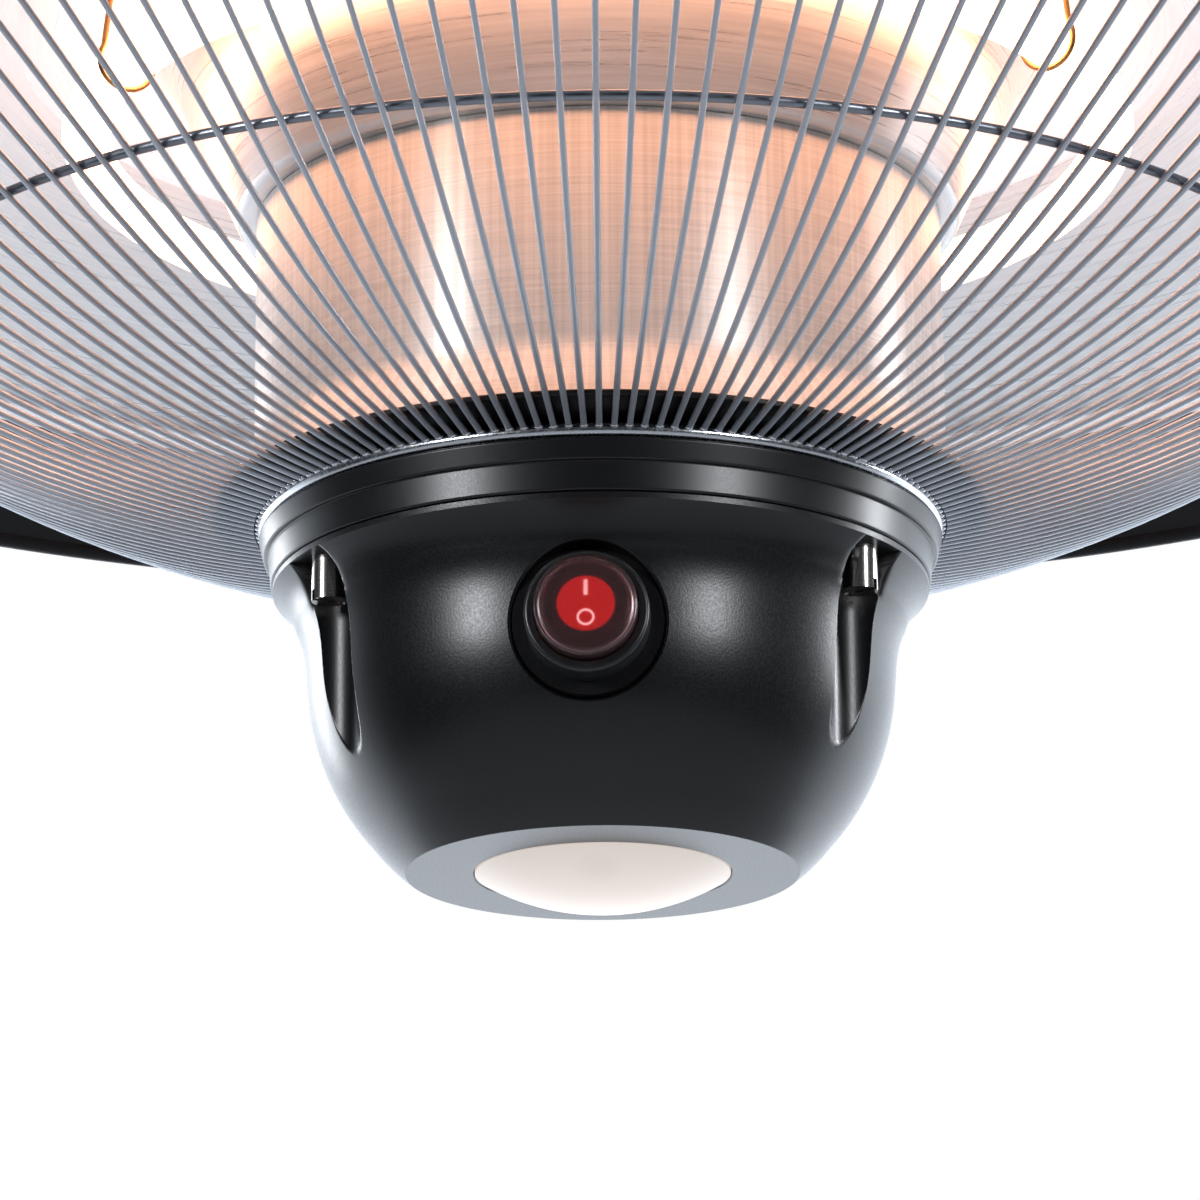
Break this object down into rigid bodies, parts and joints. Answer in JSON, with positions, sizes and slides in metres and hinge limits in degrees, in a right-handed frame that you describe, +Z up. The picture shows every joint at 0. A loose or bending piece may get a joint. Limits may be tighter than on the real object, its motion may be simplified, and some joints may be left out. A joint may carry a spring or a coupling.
{
  "type": "hanging patio heater",
  "caption": "Hanging electric patio heater: ring lamp under a wide hat, wire guard, and a control bowl below with a rocker switch and a light.",
  "frame": {"origin": "centre of the hole in the bail's top that the heater hangs from", "axes": "+Z up along the hanging hole's axis, the switch faces -Y, the tilt axis is along X"},
  "size_m": [0.583, 0.583, 0.3225],
  "materials": {
    "hat_black": "matte powder coat",
    "collar_black": "gloss",
    "bowl_black": "fine satin",
    "spun_aluminium": "spun",
    "brushed_aluminium": "vertically brushed",
    "guard_steel": "bright plated wire",
    "zinc_steel": "zinc plated",
    "hanger_steel": "satin",
    "nickel": "polished nickel",
    "quartz": "clear",
    "heating_coil": "glowing",
    "ceramic_white": "unglazed ceramic",
    "lens_white": "frosted",
    "rocker_red": "see-through red",
    "boot_clear": "soft clear",
    "switch_black": "moulded",
    "gland_black": "moulded",
    "grey_rubber": "soft",
    "block_white": "moulded",
    "board_green": "solder mask",
    "component_black": "moulded",
    "led_yellow": "phosphor",
    "brass": "plain"
  },
  "bodies": {
    "hanger": {"hanger_bail": "hanger_steel"},
    "heater": {"hat_shade": "hat_black", "top_cap": "hat_black", "collar_tray": "collar_black", "control_bowl": "bowl_black", "reflector_pan": "spun_aluminium", "core_tube": "brushed_aluminium", "guard_wires": "guard_steel", "guard_inner_ring": "guard_steel", "guard_mid_ring": "guard_steel", "guard_outer_ring": "guard_steel", "pivot_bolts": "zinc_steel", "pivot_nuts": "zinc_steel", "bracket_screws": "zinc_steel", "bracket_nuts": "zinc_steel", "cap_screws": "zinc_steel", "pan_screws": "zinc_steel", "pan_spacers": "zinc_steel", "stud_sleeves": "zinc_steel", "mounting_studs": "zinc_steel", "stud_nuts": "zinc_steel", "guard_clips": "zinc_steel", "guard_clip_screws": "zinc_steel", "lens_screws": "zinc_steel", "board_screws": "zinc_steel", "board_standoffs": "zinc_steel", "lamp_clips": "zinc_steel", "thermal_cutout": "zinc_steel", "hanger_bracket": "hanger_steel", "barrel_nuts": "nickel", "lamp_tube": "quartz", "lamp_filament": "heating_coil", "lamp_end_caps": "ceramic_white", "light_lens": "lens_white", "switch_boot": "boot_clear", "switch_housing": "switch_black", "switch_bezel": "switch_black", "switch_lock_nut": "switch_black", "gland_body": "gland_black", "gland_cap_nut": "gland_black", "gland_locknut": "gland_black", "hat_grommet": "grey_rubber", "lead_sleeve": "grey_rubber", "terminal_block": "block_white", "lens_retainer": "block_white", "control_board": "board_green", "led_board": "board_green", "board_components": "component_black", "ir_receiver": "component_black", "led_chips": "led_yellow", "switch_terminals": "brass"},
    "rocker": {"switch_rocker": "rocker_red"}
  },
  "joints": [
    {"name": "bail_tilt", "type": "hinge", "parent": "hanger", "child": "heater", "pos_m": [0, 0, -0.055], "axis": [1, 0, 0], "range_deg": [-75, 75]},
    {"name": "rocker_tilt", "type": "hinge", "parent": "heater", "child": "rocker", "pos_m": [0, -0.0595, -0.2782], "axis": [1, 0, 0], "range_deg": [0, 12]}
  ]
}
